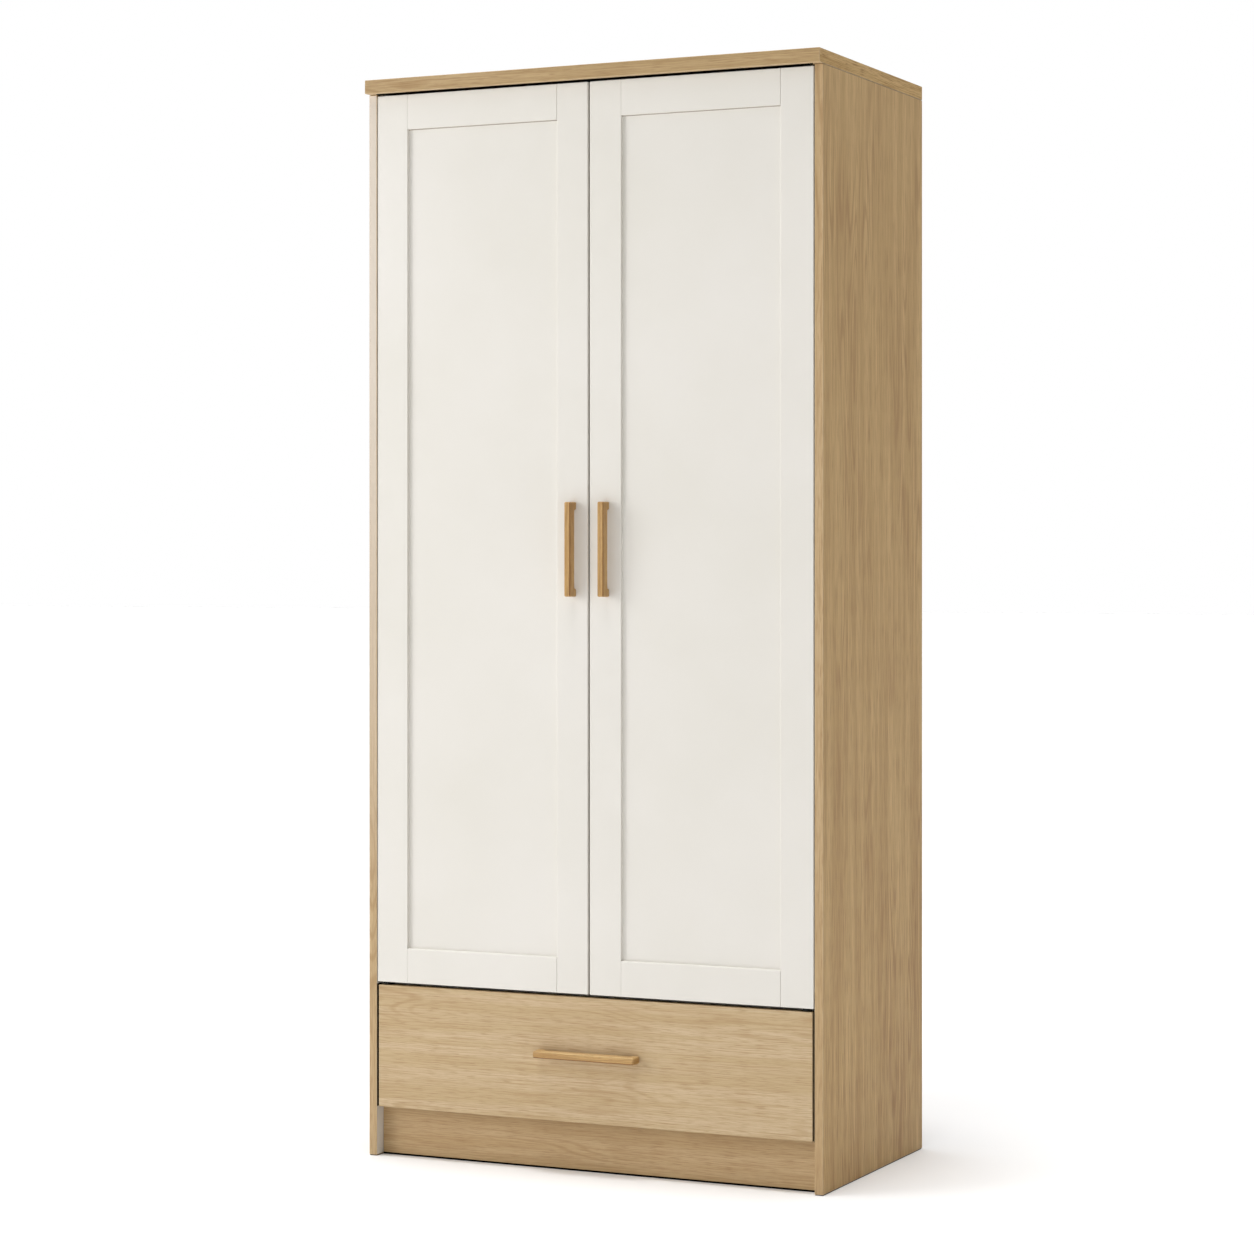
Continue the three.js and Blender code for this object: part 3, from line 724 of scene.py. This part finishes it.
for hand, sign in (("left", -1), ("right", 1)):
    for member, body, outside in (
        ("outer", "carcass", True),
        ("middle", "drawer_slide_middles", True),
        ("inner", "drawer", False),
    ):
        node = f"drawer_slide_{member}_{hand}"
        piece(f"{hand}_{member}_slide", slide_member(node, outside), body, [ZINC], [node])

    # Catch: a moulded body with two steel poles either side of its magnet.
    node = "magnet_catch_" + hand
    low, high = span(node)
    middle = (low + high) / 2
    parts = [block(low, high, 0, 1.6 * MM)]
    for across, wide, tone in ((-2.6, 1.2, 1), (0.0, 3.4, 2), (2.6, 1.2, 1)):
        a = middle + np.array([-15, 0, across - wide / 2]) * MM
        b = middle + np.array([15, 0, across + wide / 2]) * MM
        a[1] = low[1] - 0.05 * MM
        b[1] = low[1] + 2 * MM
        bar = block(a, b, 0, 0.3 * MM)
        bar["tones"][:] = tone
        parts.append(bar)
    piece(hand + "_catch", joined(*parts), "carcass", [NYLON, ZINC, FERRITE], [node])

    # Strike plate on the door.
    node = hand + "_door_strike_plate"
    low, high = span(node)
    plate = block(low, high, 0, 0.4 * MM)
    piece(hand + "_strike", plate, hand + "_door", [ZINC], [node])

    # Handle screws through the meeting stile.
    low, high = span(hand + "_door_handle")
    stile = span(hand + "_door_meeting_stile")[1][1]
    heads = [
        screw(((low[0] + high[0]) / 2, stile, height), (0, 1, 0), *HANDLE_SCREW)
        for height in (low[2] + HANDLE_SCREW_IN, high[2] - HANDLE_SCREW_IN)
    ]
    piece(hand + "_handle_screws", joined(*heads), hand + "_door", [ZINC])

    # Screws of the pivot plates, blackened to paint the shade of the gaps.
    top_low, top_high = span("top_pivot_plate_" + hand)
    foot_low = span("bottom_pivot_plate_" + hand)[0]
    middle = (top_low[0] + top_high[0]) / 2
    heads = []
    for back in PIVOT_SCREWS_IN:
        y = top_high[1] - back
        heads.append(screw((middle, y, top_high[2] - PLATE), (0, 0, -1), *PIVOT_SCREW))
        heads.append(screw((middle, y, foot_low[2] + PLATE), (0, 0, 1), *PIVOT_SCREW))
    piece(hand + "_pivot_screws", joined(*heads), "carcass", [GAP_SHADE_ZINC])

    # Cover caps of the fittings under the hat shelf.
    low, high = span("hat_shelf")
    edge = low[0] if sign < 0 else high[0]
    caps = [
        turned(CAP, (edge - sign * 34 * MM, y, low[2]), (0, 0, -1))
        for y in (low[1] + 45 * MM, high[1] - 60 * MM)
    ]
    piece(hand + "_cover_caps", joined(*caps), "carcass", [NYLON])

    # Black strip on the side board in the gap beside the drawer front, painting the shade of the gap.
    low, high = span("drawer_front")
    side_low, side_high = span("side_panel_" + hand)
    wall = side_high[0] if sign < 0 else side_low[0]
    reach = wall - sign * 0.9 * MM
    a = np.array([min(wall, reach), low[1] + 0.6 * MM, low[2]])
    b = np.array([max(wall, reach), high[1], high[2] + 1.5 * MM])
    piece(hand + "_gap_shade_strip", block(a, b, 2, 0.3 * MM), "carcass", [SHADE_BLACK])

low, high = span("drawer_handle")
board_back = span("drawer_front")[1][1]
heads = [
    screw((x, board_back, (low[2] + high[2]) / 2), (0, 1, 0), *HANDLE_SCREW)
    for x in (low[0] + HANDLE_SCREW_IN, high[0] - HANDLE_SCREW_IN)
]
piece("drawer_handle_screws", joined(*heads), "drawer", [ZINC])

# Black strip under the top board, painting the shade in the gap above the doors: a band before the
# doors, and a wider one between the pivots.
plate = span("top_pivot_plate_right")[0]
doors = span("right_door_hinge_stile")
under = span("top_panel")[0][2]
front, wide = doors[0][1], doors[1][0]
strips = [
    block(np.array([-x, near, under - 1.2 * MM]), np.array([x, far, under]), 0, 0.3 * MM)
    for x, near, far in (
        (wide, front - 6 * MM, front - 0.1 * MM),
        (plate[0] - 1 * MM, front - 0.2 * MM, front + 19 * MM),
    )
]
piece("top_gap_shade_strip", joined(*strips), "carcass", [SHADE_BLACK])

# The black strip under the plinth board, painting the shadow line at the floor.
low, high = span("plinth_front")
a = np.array([low[0], low[1] + 0.8 * MM, 0.2 * MM])
b = np.array([high[0], high[1] - 2 * MM, low[2] + PLINTH_LIFT + 0.2 * MM])
piece("plinth_shade_strip", block(a, b, 0, 0.3 * MM), "carcass", [SHADE_BLACK])

# The CAD's own pivots, bushes, sockets and joiner have their true shape and stay visible; the pivots
# and bushes are black to paint the shade of the gaps.
STAYS = {
    "pivot_plate": GAP_SHADE_ZINC, "bush": GAP_SHADE_NYLON, "rail_socket": CHROME, "back_joiner": NYLON,
}
for node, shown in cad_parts.items():
    for part, finish in STAYS.items():
        if part in node:
            for place in shown.material_slots:
                place.material = finish

# ---------------------------------------------------------------- floor, light and camera

REACH = 60.0
floor_mesh = bpy.data.meshes.new("floor")
corners = [(-REACH, -REACH, 0), (REACH, -REACH, 0), (REACH, REACH, 0), (-REACH, REACH, 0)]
floor_mesh.from_pydata(corners, [], [(0, 1, 2, 3)])
floor = bpy.data.objects.new("floor", floor_mesh)
bpy.context.scene.collection.objects.link(floor)
# Painted studio floor: plain off-white, matt.
FLOOR = surface("studio_floor", Base_Color=linear("#F4F4F4"), Roughness=0.9)[2]
floor_mesh.materials.append(FLOOR)

scene = bpy.context.scene
scene.view_settings.view_transform = "Standard"

world = bpy.data.worlds.new("studio")
scene.world = world
world.use_nodes = True
tree = world.node_tree
tree.nodes.clear()
# The camera sees a white backdrop, and the object takes a weaker, even fill from it.
seen = add(tree, "ShaderNodeBackground", {"Color": (1, 1, 1, 1), "Strength": 1.0})
fill = add(tree, "ShaderNodeBackground", {"Color": (1, 1, 1, 1), "Strength": 0.175})
ray = add(tree, "ShaderNodeLightPath")
mix = add(tree, "ShaderNodeMixShader", {
    0: ray.outputs["Is Camera Ray"], 1: fill.outputs[0], 2: seen.outputs[0],
})
add(tree, "ShaderNodeOutputWorld", {"Surface": mix.outputs[0]})


def lamp(name, kind, toward, strength, place=(0.0, 0.0, 0.0), **settings):
    """A soft lamp at a place, shining towards a direction."""
    data = bpy.data.lights.new(name, kind)
    data.energy = strength
    for setting, value in settings.items():
        setattr(data, setting, value)
    made = bpy.data.objects.new(name, data)
    made.location = place
    made.rotation_euler = Vector(toward).to_track_quat("-Z", "Y").to_euler()
    made.visible_camera = False
    scene.collection.objects.link(made)


# A large round key at the front left, aimed at the middle of the front, and two soft lamps above.
KEY_PLACE = Vector((-5.2, -3.9, 2.9))
FRONT_MIDDLE = Vector((0.0, -0.25, 1.0))
lamp("key_lamp", "AREA", FRONT_MIDDLE - KEY_PLACE, 204.0, KEY_PLACE, shape="DISK", size=4.4)
lamp("top_lamp", "SUN", (0.015, 0.0, -1.0), 2.7, angle=np.radians(20))
lamp("front_top_lamp", "SUN", (-0.05, 0.5, -1.0), 0.55, angle=np.radians(26))

eye = bpy.data.cameras.new("camera")
eye.lens = 92.2
eye.sensor_width = 36.0
eye.shift_x = -0.00035
eye.shift_y = -0.0524
eye.clip_end = 300.0
camera = bpy.data.objects.new("camera", eye)
camera.location = (2.5123, -5.38805, 1.0952)
camera.rotation_euler = (np.radians(90), 0.0, np.radians(25.3))
scene.collection.objects.link(camera)
scene.camera = camera

# ---------------------------------------------------------------- last update of the scene

bpy.context.view_layer.update()
